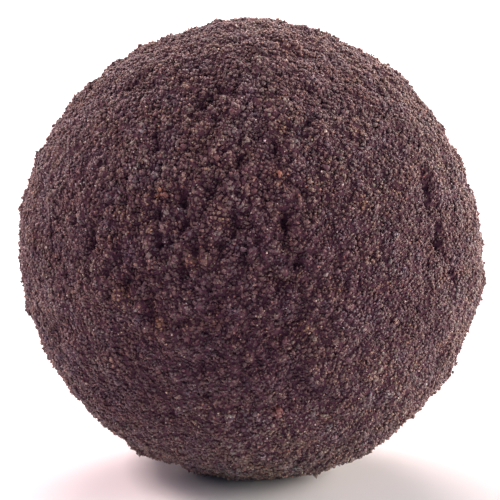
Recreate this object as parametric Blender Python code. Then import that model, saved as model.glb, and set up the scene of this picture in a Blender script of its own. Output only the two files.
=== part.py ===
"""Chocolate truffle: one hand-rolled ball of soft chocolate under a crumbly cocoa coat.

The frame is in metres with +Z up. The truffle stands on z = 0 on the small flat spot that its own
weight presses into it, and its front, the side with the marks listed below, faces -Y.
"""

import itertools
import math

import bmesh
import bpy
import numpy as np

# Driving dimensions in metres.
BALL_RADIUS = 0.0150
RESTING_FLAT_RADIUS = 0.0041
SMOOTH_FOOT_RADIUS = 0.0058

# The coat is thrown up into clumps, on a ball that the palms left a little uneven.
CLUMP_SIZE = 0.0026
CLUMP_RISE = 0.00042
SMALL_CLUMP_SIZE = 0.0016
SMALL_CLUMP_RISE = 0.00022
SWELL_SIZE = 0.0062
SWELL_RISE = 0.00015

# The clumps' and swells' own draws, how round a clump's top is, and the height on it that lies on the ball.
SWELL_SALT = 3
CLUMP_SALT = 11
SMALL_CLUMP_SALT = 29
CLUMP_ROUNDNESS = 0.7
CLUMP_MEAN = 0.5

# How far the ball's front is tipped back, and from how far away it is looked at. The marks below are given
# as they are seen from there.
FRONT_TILT = math.radians(10)
VIEW_DISTANCE = 0.122

# The uneven outline seen from the front. Each row is an angle in degrees, anticlockwise from the right,
# a height in metres and a reach in metres: lumps are above zero and dents below.
OUTLINE_SWELLS = (
    (2, 0.00024, 0.0020),
    (27, -0.00034, 0.0040),
    (57, 0.00010, 0.0018),
    (70, -0.00026, 0.0026),
    (89, 0.00026, 0.0018),
    (106, -0.00016, 0.0018),
    (122, 0.00018, 0.0016),
    (148, 0.00006, 0.0060),
    (171, 0.00014, 0.0030),
    (193, -0.00016, 0.0018),
    (210, -0.00028, 0.0048),
    (229, -0.00024, 0.0022),
    (241, 0.00020, 0.0016),
    (251, -0.00016, 0.0026),
    (266, -0.00030, 0.0030),
    (298, 0.00024, 0.0052),
    (328, 0.00042, 0.0026),
    (338, -0.00014, 0.0010),
    (348, 0.00040, 0.0028),
)

# Pits, grooves and ridges of the front. Each row is where the mark starts and ends, as seen right and up
# from the middle of the front, then its height and its reach to the side, all in metres.
FRONT_MARKS = (
    ((-0.0018, 0.0014), (-0.0017, 0.0036), 0.00020, 0.0008),
    ((-0.0009, 0.0018), (-0.0009, 0.0018), -0.00024, 0.0008),
    ((-0.0025, 0.0040), (-0.0031, 0.0018), -0.00012, 0.0006),
    ((-0.0046, 0.0035), (-0.0044, 0.0014), -0.00014, 0.0007),
    ((-0.0026, 0.0101), (-0.0026, 0.0101), -0.00022, 0.0011),
    ((-0.0075, 0.0108), (-0.0075, 0.0108), -0.00020, 0.0012),
    ((0.0023, 0.0018), (0.0023, 0.0018), -0.00018, 0.0008),
    ((-0.0130, 0.0019), (-0.0130, 0.0003), -0.00022, 0.0010),
    ((-0.0127, -0.0056), (-0.0127, -0.0056), -0.00020, 0.0011),
    ((-0.0099, -0.0091), (-0.0099, -0.0091), -0.00022, 0.0011),
    ((0.0041, -0.0092), (0.0041, -0.0092), -0.00020, 0.0012),
    ((-0.0094, -0.0016), (-0.0068, -0.0042), 0.00016, 0.0009),
    ((-0.0084, -0.0010), (-0.0065, -0.0032), -0.00022, 0.0009),
    ((0.0026, -0.0036), (0.0030, -0.0097), -0.00018, 0.0009),
    ((0.0114, 0.0050), (0.0124, 0.0002), -0.00022, 0.0008),
)

# The ball is a cube's grid blown up to a sphere, with this many cells along each edge of the cube.
CELLS_PER_EDGE = 30
CUBE_EDGE = 2.0
FACE_HALF_ANGLE = math.radians(45)

# The height fades out towards the foot as this power of the distance.
FOOT_FADE = 2

# The repeatable draws that clumps and swells are placed and sized by.
DRAW_COUNT = 256
DRAW_SEED = 417
random = np.random.default_rng(DRAW_SEED)
SHUFFLED = random.permutation(DRAW_COUNT)
DRAWS = random.random((DRAW_COUNT, 3))

# A distance in lattice cells beyond any drawn middle, and the least squared length that is divided by.
BEYOND_ALL = 9.0
LEAST_SQUARE = 1e-18

COAT_COLOUR = (0.088, 0.047, 0.053, 1.0)
COAT_ROUGHNESS = 0.85


def clear_scene():
    for old in list(bpy.data.objects):
        bpy.data.objects.remove(old, do_unlink=True)


def coat_material():
    material = bpy.data.materials.new("cocoa_coat")
    material.use_nodes = True
    shader = material.node_tree.nodes["Principled BSDF"]
    shader.inputs["Base Color"].default_value = COAT_COLOUR
    shader.inputs["Roughness"].default_value = COAT_ROUGHNESS
    shader.inputs["Metallic"].default_value = 0.0
    return material


def front_direction(right, up):
    """Unit direction of the point that lies this far right and up on the front, as shares of the radius."""
    depth = math.sqrt(max(0.0, 1.0 - right * right - up * up))
    across_tilt = math.sin(FRONT_TILT)
    along_tilt = math.cos(FRONT_TILT)
    found = np.array((right, up * across_tilt - depth * along_tilt, up * along_tilt + depth * across_tilt))
    return found / np.linalg.norm(found)


def seen_point(place):
    """Point of the plain ball that is seen this far right and up from the middle of the front."""
    right, up = np.array(place) / BALL_RADIUS
    distance = VIEW_DISTANCE / BALL_RADIUS
    square = right * right + up * up
    slope = square / distance
    spread = 1.0 + slope / distance
    depth = (slope + math.sqrt(slope * slope - spread * (square - 1.0))) / spread
    nearer = 1.0 - depth / distance
    return front_direction(right * nearer, up * nearer) * BALL_RADIUS


def distance_to_line(points, start, end):
    """How far each point is from the straight line between start and end."""
    along = end - start
    length_squared = max(float(along @ along), LEAST_SQUARE)
    share = np.clip((points - start) @ along / length_squared, 0.0, 1.0)
    return np.linalg.norm(points - start - share[:, None] * along, axis=1)


def mark_height(points, start, end, height, reach):
    """A soft lump, dent or groove of this height along the line from start to end."""
    return height * np.exp(-((distance_to_line(points, start, end) / reach) ** 2))


def cell_draws(cells, salt):
    """Three repeatable numbers from 0 to 1 for each cell of a lattice."""
    x, y, z = (cells + salt).T % DRAW_COUNT
    first = (SHUFFLED[x] + y) % DRAW_COUNT
    second = (SHUFFLED[first] + z) % DRAW_COUNT
    return DRAWS[SHUFFLED[second]]


def clump_height(points, size, salt):
    """Rounded clumps of about this size, 1 at a clump's middle and 0 in the creases between clumps."""
    scaled = points / size
    cells = np.floor(scaled).astype(int)
    nearest = np.full(len(points), BEYOND_ALL)
    second = nearest.copy()
    for step in itertools.product((-1, 0, 1), repeat=3):
        neighbours = cells + step
        middles = neighbours + cell_draws(neighbours, salt)
        distance = np.linalg.norm(scaled - middles, axis=1)
        second = np.minimum(second, np.maximum(nearest, distance))
        nearest = np.minimum(nearest, distance)
    return np.clip(second - nearest, 0.0, 1.0) ** CLUMP_ROUNDNESS


def swell_height(points, size, salt):
    """Smooth swelling from -1 to 1: draws at a lattice's corners, blended between them."""
    scaled = points / size
    cells = np.floor(scaled).astype(int)
    share = scaled - cells
    share = share * share * (3.0 - 2.0 * share)
    height = np.zeros(len(points))
    for corner in itertools.product((0, 1), repeat=3):
        weights = np.where(corner, share, 1.0 - share).prod(axis=1)
        height += weights * cell_draws(cells + corner, salt)[:, 0]
    return 2.0 * height - 1.0


def relief(directions):
    """How far the coat stands out from the ball in each direction."""
    points = directions * BALL_RADIUS
    height = SWELL_RISE * swell_height(points, SWELL_SIZE, SWELL_SALT)
    height += CLUMP_RISE * (clump_height(points, CLUMP_SIZE, CLUMP_SALT) - CLUMP_MEAN)
    height += SMALL_CLUMP_RISE * (clump_height(points, SMALL_CLUMP_SIZE, SMALL_CLUMP_SALT) - CLUMP_MEAN)
    for angle, rise, reach in OUTLINE_SWELLS:
        turn = math.radians(angle)
        middle = front_direction(math.cos(turn), math.sin(turn)) * BALL_RADIUS
        height += mark_height(points, middle, middle, rise, reach)
    for start, end, rise, reach in FRONT_MARKS:
        height += mark_height(points, seen_point(start), seen_point(end), rise, reach)
    foot = np.array((0.0, 0.0, -BALL_RADIUS))
    from_foot = np.linalg.norm(points - foot, axis=1) / SMOOTH_FOOT_RADIUS
    return height * np.clip(from_foot, 0.0, 1.0) ** FOOT_FADE


def truffle_mesh():
    """A cube's grid, each corner pushed out to the ball and its relief, and pressed flat underneath."""
    grid = bmesh.new()
    bmesh.ops.create_cube(grid, size=CUBE_EDGE)
    bmesh.ops.subdivide_edges(grid, edges=grid.edges[:], cuts=CELLS_PER_EDGE - 1, use_grid_fill=True)
    cube_points = np.array([corner.co for corner in grid.verts])
    # Even steps of angle, not of length, from the middle of each face of the cube to its edges.
    directions = np.tan(cube_points * FACE_HALF_ANGLE)
    directions /= np.linalg.norm(directions, axis=1)[:, None]
    points = directions * (BALL_RADIUS + relief(directions))[:, None]
    middle_above_floor = math.sqrt(BALL_RADIUS**2 - RESTING_FLAT_RADIUS**2)
    points[:, 2] = np.maximum(points[:, 2] + middle_above_floor, 0.0)
    for corner, point in zip(grid.verts, points):
        corner.co = point
    bmesh.ops.triangulate(grid, faces=grid.faces[:], quad_method="SHORT_EDGE")
    bmesh.ops.recalc_face_normals(grid, faces=grid.faces[:])
    mesh = bpy.data.meshes.new("truffle")
    grid.to_mesh(mesh)
    grid.free()
    mesh.shade_smooth()
    return mesh


def make_truffle(collection):
    truffle = bpy.data.objects.new("truffle", truffle_mesh())
    truffle.data.materials.append(coat_material())
    collection.objects.link(truffle)
    return truffle


def main():
    clear_scene()
    collection = bpy.data.collections.new("chocolate_truffle")
    bpy.context.scene.collection.children.link(collection)
    make_truffle(collection)


main()
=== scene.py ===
"""A hand-rolled chocolate truffle: a slightly uneven ball under a coat of cocoa and chocolate crumbs."""

import itertools
import math

import bpy
import numpy as np
from bpy.props import FloatProperty, FloatVectorProperty, IntProperty, PointerProperty
from bpy.types import Operator, Panel, PropertyGroup
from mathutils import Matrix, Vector


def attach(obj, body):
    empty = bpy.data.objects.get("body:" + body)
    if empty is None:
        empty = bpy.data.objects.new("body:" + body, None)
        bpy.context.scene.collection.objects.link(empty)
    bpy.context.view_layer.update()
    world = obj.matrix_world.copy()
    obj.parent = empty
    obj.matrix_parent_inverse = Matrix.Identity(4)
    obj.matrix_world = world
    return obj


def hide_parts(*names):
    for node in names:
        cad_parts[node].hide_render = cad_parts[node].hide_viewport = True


bl_info = {
    "name": "Chocolate Truffle",
    "version": (1, 0, 0),
    "blender": (4, 5, 0),
    "location": "3D View > Sidebar > Truffle",
    "description": "Builds a hand-rolled truffle with a crumbly cocoa coat, grain by grain",
    "category": "Add Mesh",
}

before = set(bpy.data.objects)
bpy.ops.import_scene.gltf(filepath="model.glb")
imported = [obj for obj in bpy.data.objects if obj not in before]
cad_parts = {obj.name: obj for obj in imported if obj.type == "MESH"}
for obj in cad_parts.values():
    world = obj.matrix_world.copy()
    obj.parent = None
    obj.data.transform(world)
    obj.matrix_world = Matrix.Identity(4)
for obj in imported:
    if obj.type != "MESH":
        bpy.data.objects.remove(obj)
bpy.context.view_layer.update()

# The solid ball's own sizes, in metres, which the coat repeats so that it lies on the solid.
BALL_RADIUS = 0.0150
RESTING_FLAT_RADIUS = 0.0041
SMOOTH_FOOT_RADIUS = 0.0058
MIDDLE_ABOVE_FLOOR = math.sqrt(BALL_RADIUS**2 - RESTING_FLAT_RADIUS**2)
CLUMP_SIZE = 0.0026
CLUMP_RISE = 0.00042
SMALL_CLUMP_SIZE = 0.0016
SMALL_CLUMP_RISE = 0.00022
SWELL_SIZE = 0.0062
SWELL_RISE = 0.00015
# The clumps' and swells' own draws, how round a clump's top is, and the height on it that lies on the ball.
SWELL_SALT = 3
CLUMP_SALT = 11
SMALL_CLUMP_SALT = 29
CLUMP_ROUNDNESS = 0.7
CLUMP_MEAN = 0.5
# The height fades out towards the foot as this power of the distance.
FOOT_FADE = 2
# How far the front is tipped back, and from how far away it is looked at. Places on it are given as seen so.
FRONT_TILT = math.radians(10)
VIEW_DISTANCE = 0.122

# Lumps and dents of the outline: angle in degrees anticlockwise from the right, height and reach in metres.
OUTLINE_SWELLS = (
    (2, 0.00024, 0.0020),
    (27, -0.00034, 0.0040),
    (57, 0.00010, 0.0018),
    (70, -0.00026, 0.0026),
    (89, 0.00026, 0.0018),
    (106, -0.00016, 0.0018),
    (122, 0.00018, 0.0016),
    (148, 0.00006, 0.0060),
    (171, 0.00014, 0.0030),
    (193, -0.00016, 0.0018),
    (210, -0.00028, 0.0048),
    (229, -0.00024, 0.0022),
    (241, 0.00020, 0.0016),
    (251, -0.00016, 0.0026),
    (266, -0.00030, 0.0030),
    (298, 0.00024, 0.0052),
    (328, 0.00042, 0.0026),
    (338, -0.00014, 0.0010),
    (348, 0.00040, 0.0028),
)

# Pits, grooves and ridges of the front: start and end, right and up from its middle, then height and reach.
FRONT_MARKS = (
    ((-0.0018, 0.0014), (-0.0017, 0.0036), 0.00020, 0.0008),
    ((-0.0009, 0.0018), (-0.0009, 0.0018), -0.00024, 0.0008),
    ((-0.0025, 0.0040), (-0.0031, 0.0018), -0.00012, 0.0006),
    ((-0.0046, 0.0035), (-0.0044, 0.0014), -0.00014, 0.0007),
    ((-0.0026, 0.0101), (-0.0026, 0.0101), -0.00022, 0.0011),
    ((-0.0075, 0.0108), (-0.0075, 0.0108), -0.00020, 0.0012),
    ((0.0023, 0.0018), (0.0023, 0.0018), -0.00018, 0.0008),
    ((-0.0130, 0.0019), (-0.0130, 0.0003), -0.00022, 0.0010),
    ((-0.0127, -0.0056), (-0.0127, -0.0056), -0.00020, 0.0011),
    ((-0.0099, -0.0091), (-0.0099, -0.0091), -0.00022, 0.0011),
    ((0.0041, -0.0092), (0.0041, -0.0092), -0.00020, 0.0012),
    ((-0.0094, -0.0016), (-0.0068, -0.0042), 0.00016, 0.0009),
    ((-0.0084, -0.0010), (-0.0065, -0.0032), -0.00022, 0.0009),
    ((0.0026, -0.0036), (0.0030, -0.0097), -0.00018, 0.0009),
    ((0.0114, 0.0050), (0.0124, 0.0002), -0.00022, 0.0008),
)

# The finer relief that only the coat has: crumbs of two sizes stuck together, with pores between them.
CRUMB_SIZE = 0.00082
CRUMB_RISE = 0.00034
CRUMB_SALT = 71
FINE_CRUMB_SIZE = 0.00046
FINE_CRUMB_RISE = 0.00013
FINE_CRUMB_SALT = 83
# The ball's own skin lies this far under the solid's surface, so that the grains on it end level with it.
SKIN_DEPTH = 0.00013
# How strong the crumbs' relief is, and how much, over what size and by what draws it comes and goes.
EVEN_STRENGTH = 0.56
STRENGTH_SWELL = (0.25, 0.0040, 57)
# Where the coat is lumpier than elsewhere: right and up from the front's middle, reach and extra strength.
LUMPY_ZONES = (
    ((-0.0015, 0.0010), 0.0070, 0.75),
    ((-0.0090, 0.0000), 0.0045, 0.50),
    ((0.0020, -0.0070), 0.0050, 0.45),
    ((-0.0030, 0.0100), 0.0045, 0.40),
    ((-0.0040, -0.0100), 0.0050, 0.40),
)
# The cells along each edge of the ball's six grids, and the decimals that the corners they share agree to.
BALL_CELLS_PER_EDGE = 126
SHARED_DECIMALS = 7
# Pits between the crumbs: the size of the lattice cells that draw them, their depth, their reach as a share
# of the cell, and their stretch upright. A cell with a draw under the first share has none, and one over the
# second share has a full one.
PIT_SPACING = 0.00095
PIT_DEPTH = 0.00026
PIT_REACH = 0.30
PIT_STRETCH = 1.6
PIT_SHARES = (0.4, 0.9)
PIT_SALT = 61
PIT_DEPTH_SALT = 98
# The front's own deepest pits: start and end, right and up from its middle, then reach.
FRONT_PIT_DEPTH = 0.00034
FRONT_PITS = (
    ((-0.0011, 0.0021), (-0.0010, 0.0013), 0.00050),
    ((-0.0023, 0.0045), (-0.0023, 0.0038), 0.00026),
    ((-0.0045, 0.0038), (-0.0044, 0.0032), 0.00030),
    ((-0.0043, 0.0019), (-0.0044, 0.0014), 0.00028),
    ((0.0023, 0.0020), (0.0023, 0.0014), 0.00028),
    ((-0.0045, -0.0010), (-0.0044, -0.0017), 0.00030),
    ((-0.0019, 0.0002), (-0.0019, -0.0003), 0.00028),
    ((-0.0105, 0.0016), (-0.0105, 0.0002), 0.00026),
    ((-0.0061, 0.0026), (-0.0060, 0.0021), 0.00026),
    ((-0.0061, 0.0010), (-0.0060, 0.0004), 0.00028),
    ((-0.0083, -0.0020), (-0.0081, -0.0027), 0.00030),
    ((0.0118, 0.0042), (0.0119, 0.0026), 0.00026),
    ((0.0125, 0.0017), (0.0125, 0.0002), 0.00026),
    ((0.0119, -0.0009), (0.0119, -0.0010), 0.00024),
    ((0.0133, -0.0014), (0.0135, -0.0021), 0.00022),
    ((0.0007, 0.0080), (0.0005, 0.0074), 0.00036),
    ((0.0018, 0.0070), (0.0017, 0.0064), 0.00032),
    ((-0.0007, 0.0062), (-0.0007, 0.0058), 0.00026),
    ((-0.0037, 0.0006), (-0.0037, 0.0000), 0.00030),
    ((-0.0068, -0.0036), (-0.0066, -0.0044), 0.00040),
    ((0.0020, -0.0020), (0.0018, -0.0027), 0.00032),
    ((0.0034, -0.0003), (0.0032, -0.0009), 0.00028),
    ((-0.0083, 0.0050), (-0.0083, 0.0045), 0.00026),
    ((-0.0064, 0.0077), (-0.0063, 0.0069), 0.00028),
)

# Where the front's coat is tanner and paler: right and up from its middle, and reach.
WARM_PATCHES = (
    ((-0.0019, 0.0032), 0.0005),
    ((-0.0018, 0.0018), 0.0004),
    ((0.0018, -0.0106), 0.0004),
    ((0.0035, -0.0052), 0.0005),
    ((0.0057, -0.0026), 0.0005),
    ((-0.0030, -0.0048), 0.0005),
    ((-0.0039, -0.0010), 0.0004),
    ((-0.0065, -0.0036), 0.0004),
    ((0.0019, 0.0050), 0.0005),
    ((-0.0061, 0.0038), 0.0004),
    ((-0.0084, 0.0026), 0.0005),
    ((0.0022, 0.0081), 0.0006),
    ((-0.0060, -0.0049), 0.0005),
    ((-0.0066, 0.0015), 0.0004),
    ((-0.0084, -0.0030), 0.0006),
    ((0.0076, 0.0030), 0.0005),
)
# The front's few redder crumbs, each a lump of grains: right and up from its middle, reach, and their number.
RED_CRUMBS = (
    ((0.0018, -0.0108), 0.00015, 16),
    ((0.0019, 0.0050), 0.00008, 3),
    ((-0.0059, 0.0038), 0.00012, 5),
)
# Where the front's coat is paler or darker, partly painted light and shade and partly dustier or barer coat:
# right and up from its middle, the change of tone, and reach.
DUST_AND_PAINTED_LIGHT_PATCHES = (
    ((0.0042, 0.0005), -0.15, 0.0030),
    ((0.0020, 0.0026), -0.07, 0.0020),
    ((0.0024, 0.0000), -0.05, 0.0018),
    ((-0.0036, 0.0036), 0.13, 0.0036),
    ((-0.0048, 0.0000), -0.09, 0.0020),
    ((-0.0050, -0.0050), -0.15, 0.0028),
    ((0.0000, -0.0036), -0.13, 0.0020),
    ((0.0002, -0.0078), -0.18, 0.0026),
    ((0.0010, -0.0010), 0.08, 0.0012),
    ((0.0000, 0.0036), -0.08, 0.0016),
    ((0.0000, 0.0076), 0.09, 0.0028),
    ((0.0010, -0.0134), 0.20, 0.0034),
    ((0.0132, 0.0010), -0.12, 0.0025),
    ((0.0096, 0.0092), -0.12, 0.0028),
    ((-0.0074, 0.0072), 0.14, 0.0026),
    ((-0.0080, -0.0080), -0.10, 0.0026),
    ((0.0074, 0.0066), 0.10, 0.0022),
    ((0.0088, -0.0086), 0.14, 0.0024),
)
# Painted shade: a place that stands out by this much has grains paler by the whole range of their tones,
# and one that lies as low has them as much darker. In how far a place stands out, a mark of the front counts
# by this share.
PAINTED_SHADE_HEIGHT = 0.0006
MARK_SHARE = 0.5
# Grains get rarer from the first to the second of these depths under their surroundings, and the upper ones
# sooner.
BARE_DEPTHS = (0.00034, 0.00100)
UPPER_BARE_DEPTHS = (0.00016, 0.00048)

# A grain's tone: its mean and spread, the swells of tone over the coat, as strength, size and draws, how
# much paler a warm patch is, and the painted light that makes grains paler towards the foot, with the fall
# that it starts at and the fall that it grows over.
TONE_MEAN = 0.52
TONE_SPREAD = 0.09
TONE_SWELLS = ((0.12, 0.0018, 97), (0.05, 0.0008, 163))
WARM_PATCH_TONE = 0.16
FOOT_PAINTED_LIGHT = 0.18
FOOT_LIGHT_START = 0.62
FOOT_LIGHT_FALL = 0.3
# Painted shade: how far under its kind's first tone a grain deep in a pit can fall, as a share of the kind's
# range of tones.
PAINTED_PIT_SHADE = -0.4
# A grain's hue: what one step of warmth or of greenness does to the logarithms of red, green and blue, the
# spread of each over single grains, its swells over the coat, and how much warmer a warm patch is.
WARMTH_STEP = np.array((0.09, 0.0, -0.20))
WARMTH_SPREAD = 0.35
WARMTH_SWELL = (1.0, 0.0009, 131)
WARM_PATCH_WARMTH = 1.8
GREENNESS_STEP = np.array((-0.12, 0.10, 0.04))
GREENNESS_SPREAD = 0.45
GREENNESS_SWELL = (0.4, 0.0012, 149)

# Tones of the bare skin and of the grains, each as a place on the range and its colour. The grains' stop
# under 0 is reached only by tones that fall under a kind's first, mostly the painted shade deep in pits.
SKIN_STOPS = ((0.30, "#3a1f30"), (0.50, "#4e313e"), (0.70, "#624751"))
GRAIN_STOPS = ((-0.3, "#2c1623"), (0.0, "#401e2e"), (0.5, "#60424b"), (1.0, "#a08a87"), (2.0, "#e0d8d3"))

# The layers of grains, from the skin outwards: how many there are of each kind, their rings and sides, the
# depths that they get rarer at, their warmth and greenness, and each kind's name, material, width in metres,
# lift and tones.
GRAIN_LAYERS = (
    (
        31500,
        (1, 3),
        BARE_DEPTHS,
        (0.15, 0.75),
        (
            ("dark_cocoa_grains", "dark_cocoa", 0.00022, 0.0, (0.08, 0.66)),
            ("deep_cocoa_grains", "deep_brown_cocoa", 0.00021, 0.1, (0.08, 0.76)),
        ),
    ),
    (
        24500,
        (1, 4),
        BARE_DEPTHS,
        (0.25, 0.75),
        (
            ("brown_cocoa_grains", "brown_cocoa", 0.00025, 0.3, (0.14, 0.84)),
            ("dusty_cocoa_grains", "dusty_cocoa", 0.00023, 0.4, (0.22, 0.92)),
        ),
    ),
    (
        16500,
        (1, 4),
        UPPER_BARE_DEPTHS,
        (0.4, -0.25),
        (("pale_cocoa_grains", "pale_cocoa", 0.00014, 1.3, (0.50, 1.06)),),
    ),
)
GRAIN_SPREAD = 0.18
GRAIN_LOOSENESS = 0.40
LAYER_SEED = 99
GRAIN_SEED = 100
GRAIN_SEED_STEP = 10

# The larger chocolate crumbs, and the nibs that the redder crumbs are lumps of.
CRUMB_SHAPE = (2, 5)
CRUMB_SPREAD = 0.2
CRUMB_LIFT = -0.2
CRUMB_TONES = (0.0, 0.7)
CRUMB_LOOSENESS = 0.6
CRUMB_PLACES_SEED = 210
CRUMB_SEED = 211
EVEN_HUE = (0.0, 0.0)
NIB_SIZE = 0.00024
NIB_LIFT = 0.9
NIB_TONES = (0.35, 0.85)
NIB_HUE = (0.4, -0.7)
NIB_PLACES_SEED = 214
NIB_SEED = 212

# The sugar crystals.
SUGAR_SHAPE = (1, 4)
SUGAR_SIZE = 0.00009
SUGAR_SPREAD = 0.25
SUGAR_LIFT = 2.2
SUGAR_TONES = (1.0, 2.1)
SUGAR_LOOSENESS = 0.9
SUGAR_PLACES_SEED = 306
SUGAR_SEED = 307

# Roughness, specular level and sheen: the dull skin, cocoa with a breath of dust, and glossier sugar.
SKIN_FINISH = (0.75, 0.2, 0.05)
COCOA_FINISH = (0.5, 0.5, 0.05)
SUGAR_FINISH = (0.25, 0.5, 0.0)
REFRACTION = 1.45
SHEEN_ROUGHNESS = 0.5
# The skin's patches of drier cocoa and its powder: the width of their noise cells in metres, the detail of
# both, the powder's share in them, and the share that how far the skin stands out has in its tone, which is
# painted shade, darker in hollows and paler on rises.
SKIN_PATCH_SIZE = 0.0011
SKIN_POWDER_SIZE = 0.0002
SKIN_DETAIL = 3.0
POWDER_SHARE = 0.55
PAINTED_SHADE_SHARE = 0.5
# The strength and the height in metres of the powder's bump.
SKIN_BUMP = (0.9, 0.00006)

# A grain's own form: how far its points are pulled in or out, how much its lift differs from the usual, and
# how many of its half widths its middle keeps above the floor.
UNEVENNESS = (0.75, 1.2)
LIFT_SPREAD = 0.3
FLOOR_GAP = 1.2
# The shares of its cell of the flat map that a grain fills, and that one of the ball's grids fills.
CELL_SHARE = 0.8
GRID_SHARE = 0.96

# The repeatable draws of clumps and swells, the same as the solid's, with a distance in lattice cells beyond
# any drawn middle, and the least squared length that is divided by.
BEYOND_ALL = 9.0
LEAST_SQUARE = 1e-18
DRAW_COUNT = 256
DRAW_SEED = 417
SOLID_DRAWS = np.random.default_rng(DRAW_SEED)
SHUFFLED = SOLID_DRAWS.permutation(DRAW_COUNT)
DRAWS = SOLID_DRAWS.random((DRAW_COUNT, 3))

# The camera looks at the front from slightly above, through a long lens, and the ball fills most of its view.
LENS_MM = 135.0
SENSOR_MM = 36.0
BALL_SHARE_OF_VIEW = 0.93
CLIP_START = 0.01

# The stage: a round pale floor, a dim cool room and soft boxes. Each box has its name, azimuth clockwise from
# behind, elevation, width and height in metres, power in watts and colour.
FLOOR_RADIUS = 4.0
FLOOR_SIDES = 96
FLOOR_ROUGHNESS = 0.9
ROOM_COLOUR = "#c0c6ee"
ROOM_STRENGTH = 0.26
SOFTBOX_DISTANCE = 1.6
SOFTBOXES = (
    ("right_softbox", 90, 16, (1.9, 1.1), 60.0, "#fff0df"),
    ("right_back_softbox", 40, 10, (1.2, 0.5), 19.0, "#ffe5dc"),
    ("back_softbox", 0, 45, (0.9, 0.9), 30.0, "#ffe5dc"),
    ("left_back_softbox", -50, 15, (0.7, 0.5), 15.0, "#ffdcd5"),
    ("left_softbox", -90, 50, (0.5, 0.5), 25.5, "#ffdfd7"),
)


def linear(hex_colour):
    """A linear RGB colour from an sRGB hex value."""
    shares = np.array([int(hex_colour[start : start + 2], 16) for start in (1, 3, 5)]) / 255.0
    return tuple(np.where(shares <= 0.04045, shares / 12.92, ((shares + 0.055) / 1.055) ** 2.4))


def front_direction(right, up):
    """Unit direction of the point that lies this far right and up on the front, as shares of the radius."""
    depth = math.sqrt(max(0.0, 1.0 - right * right - up * up))
    across_tilt = math.sin(FRONT_TILT)
    along_tilt = math.cos(FRONT_TILT)
    found = np.array((right, up * across_tilt - depth * along_tilt, up * along_tilt + depth * across_tilt))
    return found / np.linalg.norm(found)


def seen_point(place):
    """Point of the plain ball that is seen this far right and up from the middle of the front."""
    right, up = np.array(place) / BALL_RADIUS
    distance = VIEW_DISTANCE / BALL_RADIUS
    square = right * right + up * up
    slope = square / distance
    spread = 1.0 + slope / distance
    depth = (slope + math.sqrt(slope * slope - spread * (square - 1.0))) / spread
    nearer = 1.0 - depth / distance
    return front_direction(right * nearer, up * nearer) * BALL_RADIUS


def distance_to_line(points, start, end):
    """How far each point is from the straight line between start and end."""
    along = end - start
    length_squared = max(float(along @ along), LEAST_SQUARE)
    share = np.clip((points - start) @ along / length_squared, 0.0, 1.0)
    return np.linalg.norm(points - start - share[:, None] * along, axis=1)


def mark_height(points, start, end, height, reach):
    """Height times a bell curve of the distance to the line from start to end."""
    return height * np.exp(-((distance_to_line(points, start, end) / reach) ** 2))


def cell_draws(cells, salt):
    """Three repeatable numbers from 0 to 1 for each cell of a lattice."""
    x, y, z = (cells + salt).T % DRAW_COUNT
    first = (SHUFFLED[x] + y) % DRAW_COUNT
    second = (SHUFFLED[first] + z) % DRAW_COUNT
    return DRAWS[SHUFFLED[second]]


def clump_height(points, size, salt):
    """Distance to the second nearest drawn middle less that to the nearest: domes with creases between."""
    scaled = points / size
    cells = np.floor(scaled).astype(int)
    nearest = np.full(len(points), BEYOND_ALL)
    second = nearest.copy()
    for step in itertools.product((-1, 0, 1), repeat=3):
        neighbours = cells + step
        middles = neighbours + cell_draws(neighbours, salt)
        distance = np.linalg.norm(scaled - middles, axis=1)
        second = np.minimum(second, np.maximum(nearest, distance))
        nearest = np.minimum(nearest, distance)
    return np.clip(second - nearest, 0.0, 1.0) ** CLUMP_ROUNDNESS


def place_height(points, place, height, reach):
    """Height times a bell curve of the distance to a place on the front."""
    middle = seen_point(place)
    return mark_height(points, middle, middle, height, reach)


def swell_height(points, size, salt):
    """Draws at a lattice's corners, blended smoothly between them, from -1 to 1."""
    scaled = points / size
    cells = np.floor(scaled).astype(int)
    share = scaled - cells
    share = share * share * (3.0 - 2.0 * share)
    height = np.zeros(len(points))
    for corner in itertools.product((0, 1), repeat=3):
        weights = np.where(corner, share, 1.0 - share).prod(axis=1)
        height += weights * cell_draws(cells + corner, salt)[:, 0]
    return 2.0 * height - 1.0


def pit_depth(points):
    """Bell-shaped pits round the lattice's drawn middles, from 0 to 1, each as deep as its cell draws."""
    scaled = points / (PIT_SPACING, PIT_SPACING, PIT_SPACING * PIT_STRETCH)
    none_below, full_above = PIT_SHARES
    cells = np.floor(scaled).astype(int)
    deepest = np.zeros(len(points))
    for step in itertools.product((-1, 0, 1), repeat=3):
        neighbours = cells + step
        share = cell_draws(neighbours, PIT_DEPTH_SALT)[:, 0]
        own_depth = np.clip((share - none_below) / (full_above - none_below), 0.0, 1.0)
        distance = np.linalg.norm(scaled - neighbours - cell_draws(neighbours, PIT_SALT), axis=1)
        deepest = np.maximum(deepest, own_depth * np.exp(-((distance / PIT_REACH) ** 2)))
    return deepest


def form_relief(points):
    """The hand-rolled ball's unevenness: swells, clumps of two sizes, and its outline's lumps and dents."""
    height = SWELL_RISE * swell_height(points, SWELL_SIZE, SWELL_SALT)
    height += CLUMP_RISE * (clump_height(points, CLUMP_SIZE, CLUMP_SALT) - CLUMP_MEAN)
    height += SMALL_CLUMP_RISE * (clump_height(points, SMALL_CLUMP_SIZE, SMALL_CLUMP_SALT) - CLUMP_MEAN)
    for angle, rise, reach in OUTLINE_SWELLS:
        turn = math.radians(angle)
        middle = front_direction(math.cos(turn), math.sin(turn)) * BALL_RADIUS
        height += mark_height(points, middle, middle, rise, reach)
    return height


def mark_relief(points):
    """The pits, grooves and ridges of the front."""
    height = np.zeros(len(points))
    for start, end, rise, reach in FRONT_MARKS:
        height += mark_height(points, seen_point(start), seen_point(end), rise, reach)
    return height


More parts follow.
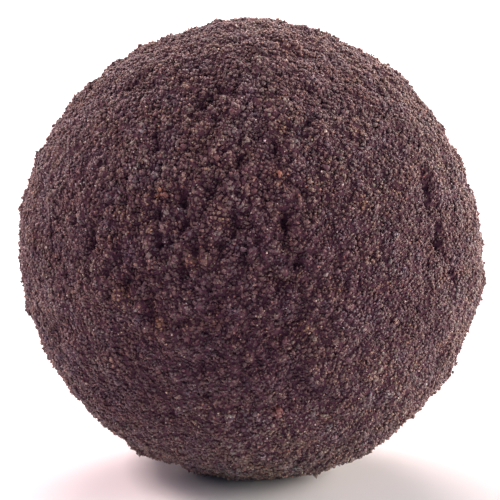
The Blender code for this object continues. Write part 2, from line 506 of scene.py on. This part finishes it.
def crumb_relief(points):
    """The coat's own crumbs, domes of two sizes, which stand out more in the lumpy zones and in swells."""
    share, size, salt = STRENGTH_SWELL
    strength = EVEN_STRENGTH + share * swell_height(points, size, salt)
    for place, reach, extra in LUMPY_ZONES:
        strength += place_height(points, place, extra, reach)
    height = CRUMB_RISE * strength * (clump_height(points, CRUMB_SIZE, CRUMB_SALT) - CLUMP_MEAN)
    height -= PIT_DEPTH * strength * pit_depth(points)
    for start, end, reach in FRONT_PITS:
        height -= mark_height(points, seen_point(start), seen_point(end), FRONT_PIT_DEPTH, reach)
    return height + FINE_CRUMB_RISE * (clump_height(points, FINE_CRUMB_SIZE, FINE_CRUMB_SALT) - CLUMP_MEAN)


def coat_points(directions):
    """Points of the skin under the grains, and how far each stands over or under its surroundings.

    A point's distance from the middle is the radius plus all relief, faded out towards the foot.
    """
    points = directions * BALL_RADIUS
    marks = mark_relief(points)
    crumbs = crumb_relief(points)
    height = form_relief(points) + marks + crumbs - SKIN_DEPTH
    foot = np.array((0.0, 0.0, -BALL_RADIUS))
    from_foot = np.linalg.norm(points - foot, axis=1) / SMOOTH_FOOT_RADIUS
    height *= np.clip(from_foot, 0.0, 1.0) ** FOOT_FADE
    points = directions * (BALL_RADIUS + height)[:, None]
    points[:, 2] += MIDDLE_ABOVE_FLOOR
    return points, MARK_SHARE * marks + crumbs


def ball_surface(cells):
    """Six square grids of u and v from -1 to 1, each bent to equal angles and blown up to the ball.

    Gives the unit directions, the quads and each quad corner's place on a flat map of three by two grids.
    """
    steps = np.linspace(-1.0, 1.0, cells + 1)
    u, v = np.meshgrid(steps, steps, indexing="ij")
    bent_u = np.tan(u * math.pi / 4.0).ravel()
    bent_v = np.tan(v * math.pi / 4.0).ravel()
    corner = np.arange((cells + 1) ** 2).reshape(cells + 1, cells + 1)
    quads = np.stack((corner[:-1, :-1], corner[1:, :-1], corner[1:, 1:], corner[:-1, 1:]), axis=-1)
    quads = quads.reshape(-1, 4)
    flat = 0.5 * GRID_SHARE * np.stack((u.ravel(), v.ravel()), axis=1) + 0.5
    axes = np.eye(3)
    points = []
    faces = []
    places = []
    for number, (axis, sign) in enumerate(itertools.product(range(3), (1.0, -1.0))):
        side = sign * axes[axis]
        along_u = axes[(axis + 1) % 3]
        along_v = sign * axes[(axis + 2) % 3]
        points.append(side + bent_u[:, None] * along_u + bent_v[:, None] * along_v)
        faces.append(quads + number * len(flat))
        places.append((flat[quads] + (number % 3, number // 3)) / (3.0, 2.0))
    points = np.concatenate(points)
    points /= np.linalg.norm(points, axis=1)[:, None]
    # Corners that two or three of the grids share become one.
    rounded = np.round(points, SHARED_DECIMALS)
    _, kept, merged = np.unique(rounded, axis=0, return_index=True, return_inverse=True)
    return points[kept], merged.ravel()[np.concatenate(faces)], np.concatenate(places)


def crumb_surface(rings, sides):
    """A small globe: rings of points at even angles from pole to pole, each turned half a step from the last.

    Gives the unit points, the triangles and each triangle corner's place on a unit square.
    """
    fall = np.arange(1, rings + 1) * math.pi / (rings + 1)
    offset = 0.5 * (np.arange(rings) % 2)
    turn = (np.arange(sides)[None, :] + offset[:, None]) * 2.0 * math.pi / sides
    ring_points = np.stack(
        (
            np.sin(fall)[:, None] * np.cos(turn),
            np.sin(fall)[:, None] * np.sin(turn),
            np.broadcast_to(np.cos(fall)[:, None], turn.shape),
        ),
        axis=-1,
    )
    points = np.concatenate((ring_points.reshape(-1, 3), [(0.0, 0.0, 1.0), (0.0, 0.0, -1.0)]))
    top = rings * sides
    step = np.arange(sides)
    following = (step + 1) % sides
    triangles = [np.stack((step, following, np.full(sides, top)), axis=1)]
    columns = [np.stack((step + 0.0, step + 1.0, step + 0.5), axis=1)]
    rows = [np.tile((1.0, 1.0, 0.0), (sides, 1))]
    for ring in range(rings - 1):
        upper = ring * sides
        lower = upper + sides
        shift = offset[ring]
        below = offset[ring + 1]
        ahead = following if below < shift else step
        first = np.stack((upper + step, lower + ahead, upper + following), axis=1)
        second = np.stack((upper + following, lower + ahead, lower + (ahead + 1) % sides), axis=1)
        triangles += [first, second]
        low = step + (1.0 if below < shift else 0.0) + below
        columns.append(np.stack((step + shift, low, step + 1.0 + shift), axis=1))
        columns.append(np.stack((step + 1.0 + shift, low, low + 1.0), axis=1))
        rows.append(np.tile((ring + 1.0, ring + 2.0, ring + 1.0), (sides, 1)))
        rows.append(np.tile((ring + 1.0, ring + 2.0, ring + 2.0), (sides, 1)))
    last = (rings - 1) * sides
    triangles.append(np.stack((last + step, last + following, np.full(sides, top + 1)), axis=1))
    end = offset[rings - 1]
    columns.append(np.stack((step + end, step + 1.0 + end, step + 0.5 + end), axis=1))
    rows.append(np.tile((rings + 0.0, rings + 0.0, rings + 1.0), (sides, 1)))
    triangles = np.concatenate(triangles)
    columns = np.concatenate(columns) / (sides + 1.5)
    rows = np.concatenate(rows) / (rings + 1.0)
    places = np.stack((columns, rows), axis=-1)
    # Each triangle is put the way round that makes it face outwards.
    corners = points[triangles]
    normals = np.cross(corners[:, 1] - corners[:, 0], corners[:, 2] - corners[:, 0])
    inward = (normals * corners.mean(axis=1)).sum(axis=1) < 0.0
    triangles[inward] = triangles[inward][:, ::-1]
    places[inward] = places[inward][:, ::-1]
    return points, triangles, places


def spiral_directions(count, random, looseness):
    """Unit directions on a golden spiral from pole to pole, each moved aside by a share of their spacing."""
    number = np.arange(count) + 0.5
    rise = 1.0 - 2.0 * number / count
    turn = number * math.pi * (3.0 - math.sqrt(5.0))
    flat = np.sqrt(1.0 - rise**2)
    directions = np.stack((flat * np.cos(turn), flat * np.sin(turn), rise), axis=1)
    directions += random.normal(size=(count, 3)) * looseness * math.sqrt(4.0 * math.pi / count)
    return directions / np.linalg.norm(directions, axis=1)[:, None]


def any_turn(count, random):
    """One rotation matrix for each crumb, turned any way, from unit quaternions."""
    quaternions = random.normal(size=(4, count))
    w, x, y, z = quaternions / np.linalg.norm(quaternions, axis=0)
    rows = (
        (1 - 2 * (y * y + z * z), 2 * (x * y - z * w), 2 * (x * z + y * w)),
        (2 * (x * y + z * w), 1 - 2 * (x * x + z * z), 2 * (y * z - x * w)),
        (2 * (x * z - y * w), 2 * (y * z + x * w), 1 - 2 * (x * x + y * y)),
    )
    return np.moveaxis(np.array(rows), 2, 0)


def new_mesh(name, points, faces, places):
    """A mesh from arrays: points, faces of three or four corners, and each corner's place on the flat map."""
    mesh = bpy.data.meshes.new(name)
    mesh.vertices.add(len(points))
    mesh.vertices.foreach_set("co", points.astype(np.float32).ravel())
    mesh.loops.add(faces.size)
    mesh.loops.foreach_set("vertex_index", faces.astype(np.int32).ravel())
    mesh.polygons.add(len(faces))
    mesh.polygons.foreach_set("loop_start", np.arange(0, faces.size, faces.shape[1], dtype=np.int32))
    mesh.update(calc_edges=True)
    flat_map = mesh.uv_layers.new(name="OFBake")
    flat_map.uv.foreach_set("vector", places.astype(np.float32).ravel())
    return mesh


def add_piece(mesh, material):
    """Links a finished mesh as a piece of the truffle with this material, hung under the root body."""
    piece = bpy.data.objects.new(mesh.name, mesh)
    bpy.context.scene.collection.objects.link(piece)
    mesh.materials.append(material)
    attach(piece, "root")
    return piece


def scatter(name, directions, form, tones, hue, seed):
    """Joins many crumbs of one kind into one mesh, seated on the coat in these directions.

    Each crumb is the small globe with every point pulled in or out a little, squashed along its own axes,
    turned any way, scaled by a draw round its size, and centred a share of its size above the skin. The form
    gives its size and the spread of it, the lift above the skin, the globe's rings and sides, and the depths
    under the surroundings between which crumbs get rarer, to none below the second.
    """
    size, spread, lift, shape, bare = form
    random = np.random.default_rng(seed)
    unit_points, unit_faces, unit_places = crumb_surface(*shape)
    count = len(directions)
    sizes = 0.5 * size * np.exp(random.normal(size=count) * spread)
    seats, standing = coat_points(directions)
    lifts = random.uniform(lift - LIFT_SPREAD, lift + LIFT_SPREAD, count)
    seats += directions * (sizes * lifts)[:, None]
    kept = (seats[:, 2] > FLOOR_GAP * sizes) & (standing > -random.uniform(*bare, count))
    sizes, seats, standing, directions = sizes[kept], seats[kept], standing[kept], directions[kept]
    count = len(seats)
    uneven = random.uniform(*UNEVENNESS, (count, len(unit_points), 1))
    squash = random.uniform(*UNEVENNESS, (count, 1, 3))
    local = unit_points[None] * uneven * squash * sizes[:, None, None]
    points = np.einsum("nij,npj->npi", any_turn(count, random), local) + seats[:, None]
    faces = unit_faces[None] + (np.arange(count) * len(unit_points))[:, None, None]
    cells = math.ceil(math.sqrt(count))
    cell = np.stack((np.arange(count) % cells, np.arange(count) // cells), axis=1)
    places = (unit_places[None] * CELL_SHARE + 0.5 * (1.0 - CELL_SHARE) + cell[:, None, None]) / cells
    mesh = new_mesh(name, points.reshape(-1, 3), faces.reshape(-1, 3), places)
    mesh.shade_smooth()
    colours = grain_colours(seats, directions, standing, tones, hue, random)
    per_point = np.repeat(colours, len(unit_points), axis=0).astype(np.float32)
    mesh.attributes.new("grain_colour", "FLOAT_VECTOR", "POINT").data.foreach_set("vector", per_point.ravel())
    return mesh


def grain_colours(seats, directions, standing, tones, hue, random):
    """Each grain's own even colour.

    Its tone is drawn, paler where the coat stands out and darker where it lies low as painted shade, paler or
    darker in patches that are partly painted light and shade and partly dustier or barer coat, and paler
    towards the foot as painted light. Its hue is moved a little towards tan or blue, and towards green or
    magenta, by draws and by soft patches.
    """
    count = len(seats)
    points = directions * BALL_RADIUS
    warm = np.zeros(count)
    for place, reach in WARM_PATCHES:
        warm += place_height(points, place, 1.0, reach)
    # Painted shade: the tone rises where the coat stands out and falls where it lies low.
    tone = random.normal(TONE_MEAN, TONE_SPREAD, count) + standing / PAINTED_SHADE_HEIGHT + WARM_PATCH_TONE * warm
    for share, size, salt in TONE_SWELLS:
        tone += share * swell_height(seats, size, salt)
    # Patches of painted light and shade on the front, partly dustier or barer coat.
    for place, change, reach in DUST_AND_PAINTED_LIGHT_PATCHES:
        tone += place_height(points, place, change, reach)
    # Painted light: grains paler towards the foot, lifting the underside that the lamps leave dark.
    tone += FOOT_PAINTED_LIGHT * np.clip((-directions[:, 2] - FOOT_LIGHT_START) / FOOT_LIGHT_FALL, 0.0, 1.0)
    low, high = tones
    # Painted shade: low tones may fall under the kind's first tone, darkest in the pits.
    tone = low + (high - low) * np.clip(tone, PAINTED_PIT_SHADE, 1.0)
    stops = [stop for stop, _ in GRAIN_STOPS]
    channels = np.array([linear(colour) for _, colour in GRAIN_STOPS]).T
    colours = np.stack([np.interp(tone, stops, channel) for channel in channels], axis=1)
    share, size, salt = WARMTH_SWELL
    warmth = random.normal(hue[0], WARMTH_SPREAD, count) + share * swell_height(seats, size, salt)
    warmth += WARM_PATCH_WARMTH * warm
    share, size, salt = GREENNESS_SWELL
    greenness = random.normal(hue[1], GREENNESS_SPREAD, count) + share * swell_height(seats, size, salt)
    shift = warmth[:, None] * WARMTH_STEP + greenness[:, None] * GREENNESS_STEP
    return np.clip(colours * np.exp(shift), 0.0, 1.0)


def add_node(tree, kind, settings, links):
    """Adds a node, sets its properties and sockets, and links its inputs from other nodes' outputs."""
    node = tree.nodes.new(kind)
    for name, value in settings.items():
        if isinstance(name, str) and hasattr(node, name):
            setattr(node, name, value)
        else:
            node.inputs[name].default_value = value
    for name, output in links.items():
        tree.links.new(output, node.inputs[name])
    return node


def blank_material(name, finish):
    """A new material with its node tree and shader, given this roughness, specular level and sheen."""
    material = bpy.data.materials.new(name)
    material.use_nodes = True
    shader = material.node_tree.nodes["Principled BSDF"]
    roughness, specular, sheen = finish
    shader.inputs["Roughness"].default_value = roughness
    shader.inputs["IOR"].default_value = REFRACTION
    shader.inputs["Specular IOR Level"].default_value = specular
    shader.inputs["Sheen Weight"].default_value = sheen
    shader.inputs["Sheen Roughness"].default_value = SHEEN_ROUGHNESS
    return material, material.node_tree, shader


def noise(tree, place, size):
    """Noise with cells of this size in metres."""
    settings = {"Scale": 1.0 / size, "Detail": SKIN_DETAIL}
    return add_node(tree, "ShaderNodeTexNoise", settings, {"Vector": place}).outputs["Fac"]


def mix(tree, share, first, second):
    """First blended with this share of second."""
    settings = {"data_type": "FLOAT", 0: share}
    return add_node(tree, "ShaderNodeMix", settings, {2: first, 3: second}).outputs[0]


def ramp(tree, share, stops):
    """A colour ramp read at share, with these stops of place and sRGB hex colour."""
    node = add_node(tree, "ShaderNodeValToRGB", {}, {"Fac": share})
    while len(node.color_ramp.elements) < len(stops):
        node.color_ramp.elements.new(0.5)
    for element, (place, colour) in zip(node.color_ramp.elements, stops):
        element.position = place
        element.color = (*linear(colour), 1.0)
    return node


def chocolate_coat():
    """Soft dark chocolate under the grains: dull, near black with a purple cast, where it shows in the pores;
    painted shade makes it darker where it lies low and paler where it stands out.
    """
    material, tree, shader = blank_material("cocoa_dusted_chocolate", SKIN_FINISH)
    place = add_node(tree, "ShaderNodeTexCoord", {}, {}).outputs["Object"]
    patches = noise(tree, place, SKIN_PATCH_SIZE)
    powder = noise(tree, place, SKIN_POWDER_SIZE)
    # Painted shade: the ball's tone, from how far the skin stands out, darkens its hollows and pales its
    # rises.
    standing = add_node(tree, "ShaderNodeAttribute", {"attribute_name": "tone"}, {}).outputs["Fac"]
    mixed = mix(tree, POWDER_SHARE, patches, powder)
    colour = ramp(tree, mix(tree, PAINTED_SHADE_SHARE, mixed, standing), SKIN_STOPS)
    tree.links.new(colour.outputs["Color"], shader.inputs["Base Color"])
    strength, height = SKIN_BUMP
    settings = {"Strength": strength, "Distance": height}
    bump = add_node(tree, "ShaderNodeBump", settings, {"Height": powder})
    tree.links.new(bump.outputs["Normal"], shader.inputs["Normal"])
    return material


def grain_material(name, finish):
    """Crushed chocolate and cocoa grains: each has one even colour, and its facets glint a little."""
    material, tree, shader = blank_material(name, finish)
    colour = add_node(tree, "ShaderNodeAttribute", {"attribute_name": "grain_colour"}, {})
    tree.links.new(colour.outputs["Color"], shader.inputs["Base Color"])
    return material


class TruffleSettings(PropertyGroup):
    """Sizes and colours of the truffle that a user would change."""

    grain_scale: FloatProperty(
        name="Grain scale",
        description="How large the cocoa grains are, as a share of their usual size",
        default=1.0,
        min=0.5,
        max=2.0,
    )
    crumb_count: IntProperty(
        name="Crumbs",
        description="How many larger chocolate crumbs stick to the coat",
        default=1100,
        min=0,
        max=9500,
    )
    crumb_size: FloatProperty(
        name="Crumb size",
        description="How wide a usual larger crumb is",
        default=0.00034,
        unit="LENGTH",
    )
    sugar_count: IntProperty(
        name="Sugar crystals",
        description="How many tiny sugar crystals catch the light",
        default=2800,
        min=0,
        max=20000,
    )
    floor_colour: FloatVectorProperty(
        name="Floor colour",
        description="Colour of the plain pale floor",
        subtype="COLOR",
        default=linear("#e9eef5"),
    )


class TRUFFLE_OT_ball(Operator):
    """Build the uneven ball with its rough coat"""

    bl_idname = "truffle.ball"
    bl_label = "Chocolate Ball"

    def execute(self, context):
        directions, faces, places = ball_surface(BALL_CELLS_PER_EDGE)
        points, standing = coat_points(directions)
        points[:, 2] = np.maximum(points[:, 2], 0.0)
        mesh = new_mesh("truffle_ball", points, faces, places)
        mesh.shade_smooth()
        # Painted shade: the skin's tone is darker where it lies low and paler where it stands out.
        tone = np.clip(0.5 + standing / PAINTED_SHADE_HEIGHT, 0.0, 1.0).astype(np.float32)
        mesh.attributes.new("tone", "FLOAT", "POINT").data.foreach_set("value", tone)
        ball = add_piece(mesh, chocolate_coat())
        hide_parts("truffle")
        return {"FINISHED"}


class TRUFFLE_OT_grains(Operator):
    """Scatter the cocoa grains, one piece for each kind"""

    bl_idname = "truffle.grains"
    bl_label = "Cocoa Grains"

    def execute(self, context):
        scale = context.scene.truffle.grain_scale
        for layer, (count, shape, bare, hue, kinds) in enumerate(GRAIN_LAYERS):
            random = np.random.default_rng(LAYER_SEED + layer)
            directions = spiral_directions(len(kinds) * count, random, GRAIN_LOOSENESS)
            for number, (name, material, size, lift, tones) in enumerate(kinds):
                own = directions[number :: len(kinds)]
                seed = GRAIN_SEED + GRAIN_SEED_STEP * layer + number
                form = (size * scale, GRAIN_SPREAD, lift, shape, bare)
                mesh = scatter(name, own, form, tones, hue, seed)
                add_piece(mesh, grain_material(material, COCOA_FINISH))
        return {"FINISHED"}


class TRUFFLE_OT_crumbs(Operator):
    """Scatter the larger chocolate crumbs and the few that are redder"""

    bl_idname = "truffle.crumbs"
    bl_label = "Chocolate Crumbs"

    def execute(self, context):
        settings = context.scene.truffle
        random = np.random.default_rng(CRUMB_PLACES_SEED)
        directions = spiral_directions(settings.crumb_count, random, CRUMB_LOOSENESS)
        form = (settings.crumb_size, CRUMB_SPREAD, CRUMB_LIFT, CRUMB_SHAPE, BARE_DEPTHS)
        mesh = scatter("chocolate_crumbs", directions, form, CRUMB_TONES, EVEN_HUE, CRUMB_SEED)
        add_piece(mesh, grain_material("crushed_dark_chocolate", COCOA_FINISH))
        random = np.random.default_rng(NIB_PLACES_SEED)
        grains = []
        for place, reach, count in RED_CRUMBS:
            grains.append(seen_point(place) + random.normal(0.0, reach, (count, 3)))
        directions = np.concatenate(grains)
        directions /= np.linalg.norm(directions, axis=1)[:, None]
        form = (NIB_SIZE, CRUMB_SPREAD, NIB_LIFT, CRUMB_SHAPE, BARE_DEPTHS)
        mesh = scatter("red_crumbs", directions, form, NIB_TONES, NIB_HUE, NIB_SEED)
        add_piece(mesh, grain_material("cocoa_nib", COCOA_FINISH))
        return {"FINISHED"}


class TRUFFLE_OT_glints(Operator):
    """Scatter the few sugar crystals that catch the light"""

    bl_idname = "truffle.glints"
    bl_label = "Sugar Crystals"

    def execute(self, context):
        random = np.random.default_rng(SUGAR_PLACES_SEED)
        directions = spiral_directions(context.scene.truffle.sugar_count, random, SUGAR_LOOSENESS)
        form = (SUGAR_SIZE, SUGAR_SPREAD, SUGAR_LIFT, SUGAR_SHAPE, UPPER_BARE_DEPTHS)
        mesh = scatter("sugar_crystals", directions, form, SUGAR_TONES, EVEN_HUE, SUGAR_SEED)
        add_piece(mesh, grain_material("sugar", SUGAR_FINISH))
        return {"FINISHED"}


def aim(thing, place, target):
    """Puts a camera or light at a place and turns it to look at the target."""
    thing.location = place
    thing.rotation_euler = (Vector(target) - Vector(place)).to_track_quat("-Z", "Y").to_euler()


def add_softbox(name, azimuth, elevation, size, power, colour):
    """An area light seen from the ball at this azimuth, clockwise from behind, and elevation in degrees."""
    light = bpy.data.lights.new(name, "AREA")
    light.shape = "RECTANGLE"
    light.size, light.size_y = size
    light.energy = power
    light.color = linear(colour)
    box = bpy.data.objects.new(name, light)
    bpy.context.scene.collection.objects.link(box)
    turn = math.radians(azimuth)
    rise = math.radians(elevation)
    reach = SOFTBOX_DISTANCE * math.cos(rise)
    middle = Vector((0.0, 0.0, MIDDLE_ABOVE_FLOOR))
    height = SOFTBOX_DISTANCE * math.sin(rise)
    aim(box, middle + Vector((reach * math.sin(turn), reach * math.cos(turn), height)), middle)


class TRUFFLE_OT_stage(Operator):
    """Lay the pale floor and set the soft lights and the camera"""

    bl_idname = "truffle.stage"
    bl_label = "Floor, Lights and Camera"

    def execute(self, context):
        scene = context.scene
        turn = np.arange(FLOOR_SIDES) * 2.0 * math.pi / FLOOR_SIDES
        rim = np.stack((np.cos(turn), np.sin(turn), np.zeros(FLOOR_SIDES)), axis=1) * FLOOR_RADIUS
        floor_mesh = bpy.data.meshes.new("floor")
        floor_mesh.from_pydata(rim.tolist(), [], [tuple(range(FLOOR_SIDES))])
        floor = bpy.data.objects.new("floor", floor_mesh)
        scene.collection.objects.link(floor)
        material = bpy.data.materials.new("matt_white_card")
        material.use_nodes = True
        shader = material.node_tree.nodes["Principled BSDF"]
        shader.inputs["Base Color"].default_value = (*scene.truffle.floor_colour, 1.0)
        shader.inputs["Roughness"].default_value = FLOOR_ROUGHNESS
        floor_mesh.materials.append(material)
        world = bpy.data.worlds.new("studio")
        world.use_nodes = True
        world.node_tree.nodes["Background"].inputs["Color"].default_value = (*linear(ROOM_COLOUR), 1.0)
        world.node_tree.nodes["Background"].inputs["Strength"].default_value = ROOM_STRENGTH
        scene.world = world
        for name, azimuth, elevation, size, power, colour in SOFTBOXES:
            add_softbox(name, azimuth, elevation, size, power, colour)
        scene.view_settings.view_transform = "Standard"
        scene.view_settings.look = "None"
        half_view = math.atan(0.5 * SENSOR_MM / LENS_MM)
        ball_angle = math.atan(BALL_SHARE_OF_VIEW * math.tan(half_view))
        distance = BALL_RADIUS / math.sin(ball_angle)
        lens = bpy.data.cameras.new("camera")
        lens.lens = LENS_MM
        lens.sensor_width = SENSOR_MM
        lens.clip_start = CLIP_START
        camera = bpy.data.objects.new("camera", lens)
        scene.collection.objects.link(camera)
        middle = Vector((0.0, 0.0, MIDDLE_ABOVE_FLOOR))
        back = Vector((0.0, -math.cos(FRONT_TILT), math.sin(FRONT_TILT)))
        aim(camera, middle + back * distance, middle)
        scene.camera = camera
        return {"FINISHED"}


class TRUFFLE_PT_panel(Panel):
    """The truffle's settings and the operators that build it"""

    bl_label = "Chocolate Truffle"
    bl_space_type = "VIEW_3D"
    bl_region_type = "UI"
    bl_category = "Truffle"

    def draw(self, context):
        settings = context.scene.truffle
        for name in ("grain_scale", "crumb_count", "crumb_size", "sugar_count", "floor_colour"):
            self.layout.prop(settings, name)
        for operator in OPERATORS:
            self.layout.operator(operator.bl_idname)


OPERATORS = (TRUFFLE_OT_ball, TRUFFLE_OT_grains, TRUFFLE_OT_crumbs, TRUFFLE_OT_glints, TRUFFLE_OT_stage)
CLASSES = (TruffleSettings, *OPERATORS, TRUFFLE_PT_panel)


def register():
    for cls in CLASSES:
        bpy.utils.register_class(cls)
    bpy.types.Scene.truffle = PointerProperty(type=TruffleSettings)


def unregister():
    del bpy.types.Scene.truffle
    for cls in reversed(CLASSES):
        bpy.utils.unregister_class(cls)


def main():
    register()
    bpy.ops.truffle.ball()
    bpy.ops.truffle.grains()
    bpy.ops.truffle.crumbs()
    bpy.ops.truffle.glints()
    bpy.ops.truffle.stage()


if __name__ == "__main__":
    main()
